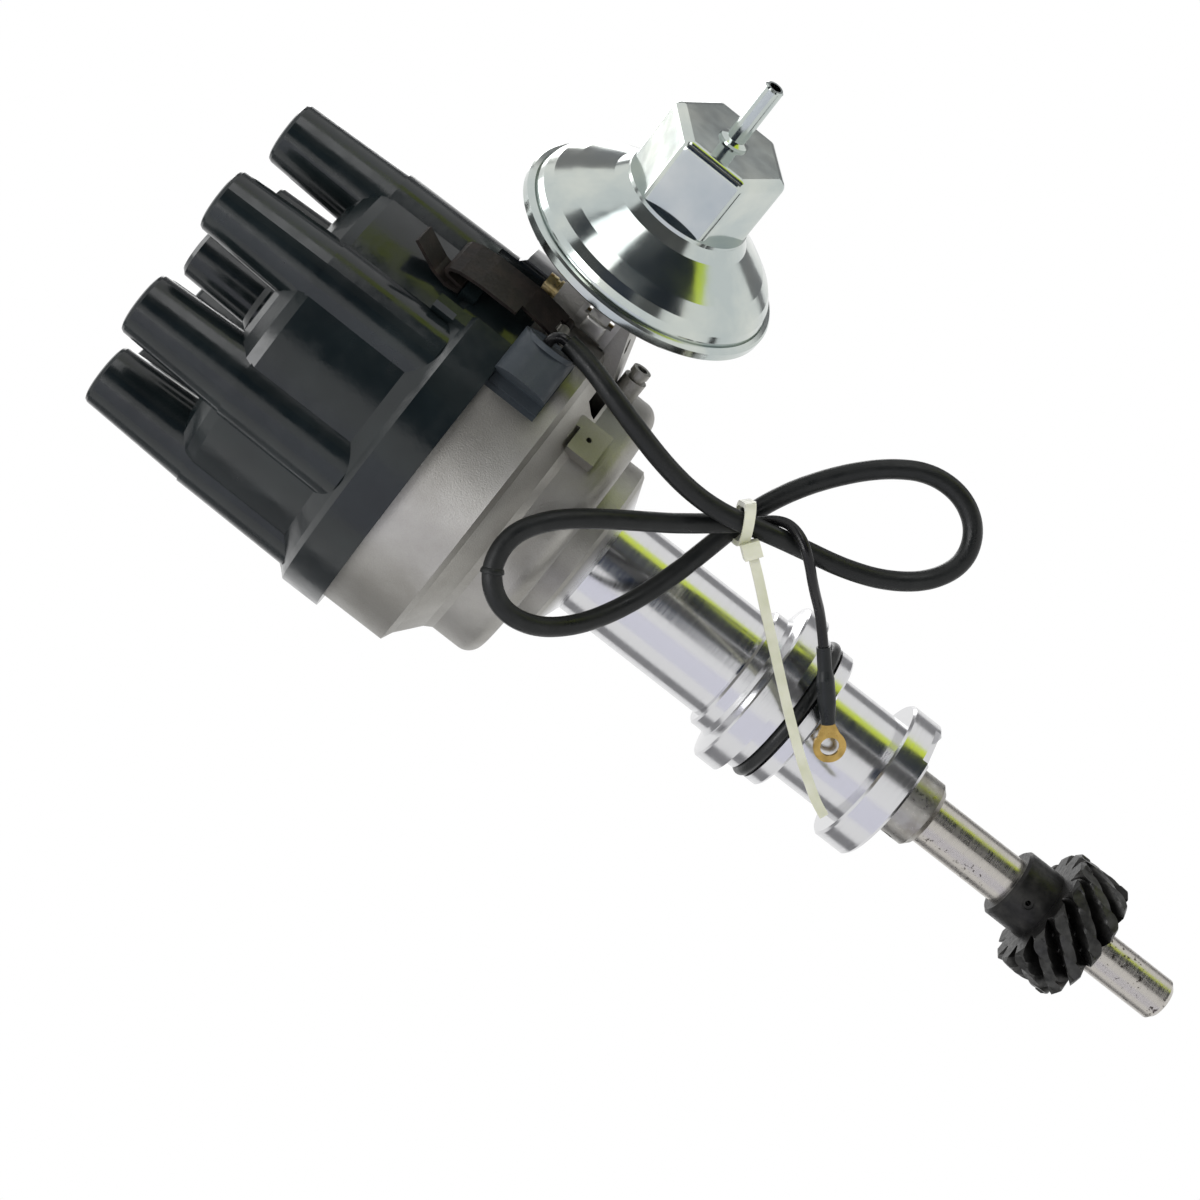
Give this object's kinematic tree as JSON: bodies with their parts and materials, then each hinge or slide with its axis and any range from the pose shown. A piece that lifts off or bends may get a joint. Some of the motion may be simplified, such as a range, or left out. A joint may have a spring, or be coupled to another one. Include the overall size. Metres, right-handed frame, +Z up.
{
  "type": "ignition distributor",
  "caption": "Ignition distributor: towered cap on a cast bowl, vacuum advance unit, stem with O-ring, gear-driven shaft and a looped earth lead.",
  "frame": {"origin": "on the shaft axis, in the plane of the flange's lower face", "axes": "+Z up the shaft to the cap; the vacuum unit points 36.5 degrees from +X towards -Y"},
  "size_m": [0.1635, 0.1063, 0.3093],
  "materials": {
    "casting": "bead-blasted casting with turned stem",
    "bronze": "sintered",
    "rubber": "matt",
    "steel": "ground",
    "dark_steel": "phosphated",
    "zinc_plate": "bright zinc",
    "yellow_zinc": "yellow passivated",
    "cap_moulding": "glossy thermoset",
    "brass": "pressed",
    "carbon": "matt",
    "felt": "oiled felt",
    "lead_rubber": "satin",
    "nylon": "translucent nylon"
  },
  "bodies": {
    "housing_body": {"housing": "casting", "upper_bush": "bronze", "lower_bush": "bronze", "o_ring": "rubber", "oil_tube": "casting", "clip_pins": "steel", "grommet": "rubber", "cap": "cap_moulding", "plug_terminals": "brass", "coil_terminal": "brass", "brush_spring": "steel", "carbon_brush": "carbon", "base_plate": "zinc_plate", "plate_screws": "zinc_plate", "vacuum_front_shell": "zinc_plate", "vacuum_back_shell": "zinc_plate", "vacuum_nipple": "zinc_plate", "vacuum_bracket": "zinc_plate", "bracket_screws": "yellow_zinc", "diaphragm": "rubber", "vacuum_spring": "steel", "lead_wire": "lead_rubber", "lead_sleeve": "lead_rubber", "earth_wire": "lead_rubber", "heat_shrink": "lead_rubber", "ring_terminal": "brass", "cable_tie": "nylon"},
    "shaft_body": {"shaft": "steel", "thrust_collar": "dark_steel", "collar_pin": "steel", "drive_gear": "dark_steel", "gear_pin": "steel", "thrust_washer": "steel", "weight_plate": "steel", "weight_pivots": "steel", "advance_springs": "steel", "sleeve_retainer": "steel", "felt_wick": "felt"},
    "cam_body": {"cam_sleeve": "steel", "rotor": "cap_moulding", "rotor_blade": "brass"},
    "weight_a_body": {"weight_a": "steel"},
    "weight_b_body": {"weight_b": "steel"},
    "breaker_body": {"breaker_plate": "zinc_plate", "pivot_post": "steel", "contact_support": "zinc_plate", "condenser": "zinc_plate"},
    "arm_body": {"breaker_arm": "zinc_plate"},
    "rod_body": {"vacuum_rod": "steel"},
    "front_clip_body": {"front_clip": "dark_steel"},
    "rear_clip_body": {"rear_clip": "dark_steel"}
  },
  "joints": [
    {"name": "shaft_turn", "type": "hinge", "parent": "housing_body", "child": "shaft_body", "pos_m": [0, 0, 0], "axis": [0, 0, 1], "continuous": true},
    {"name": "advance", "type": "hinge", "parent": "shaft_body", "child": "cam_body", "pos_m": [0, 0, 0.0784], "axis": [0, 0, 1], "range_deg": [0, 13], "stiffness_Nm_per_rad": 0.5},
    {"name": "weight_a_swing", "type": "hinge", "parent": "shaft_body", "child": "weight_a_body", "pos_m": [0.02, 0, 0.075], "axis": [0, 0, 1], "range_deg": [0, 8]},
    {"name": "weight_b_swing", "type": "hinge", "parent": "shaft_body", "child": "weight_b_body", "pos_m": [-0.02, 0, 0.075], "axis": [0, 0, 1], "range_deg": [0, 8]},
    {"name": "vacuum_turn", "type": "hinge", "parent": "housing_body", "child": "breaker_body", "pos_m": [0, 0, 0.086], "axis": [0, 0, 1], "range_deg": [-8, 0], "stiffness_Nm_per_rad": 0.5},
    {"name": "rod_slide", "type": "slide", "parent": "housing_body", "child": "rod_body", "axis": [0.8039, -0.5948, 0], "range_m": [0, 0.0037], "deforming": ["diaphragm", "vacuum_spring"]},
    {"name": "arm_swing", "type": "hinge", "parent": "breaker_body", "child": "arm_body", "pos_m": [-0.01886, 0.02242, 0.0925], "axis": [0, 0, 1], "range_deg": [-6, 0], "stiffness_Nm_per_rad": 0.1},
    {"name": "front_clip_swing", "type": "hinge", "parent": "housing_body", "child": "front_clip_body", "pos_m": [0.03534, -0.03621, 0.0975], "axis": [0.7157, 0.6984, 0], "range_deg": [0, 30]},
    {"name": "rear_clip_swing", "type": "hinge", "parent": "housing_body", "child": "rear_clip_body", "pos_m": [-0.03534, 0.03621, 0.0975], "axis": [-0.7157, -0.6984, 0], "range_deg": [0, 35]}
  ],
  "couplings": [
    {"joint": "weight_a_swing", "follows": "advance", "ratio": 0.612},
    {"joint": "weight_b_swing", "follows": "advance", "ratio": 0.612},
    {"joint": "rod_slide", "follows": "vacuum_turn", "m_per_rad": -0.02618}
  ]
}
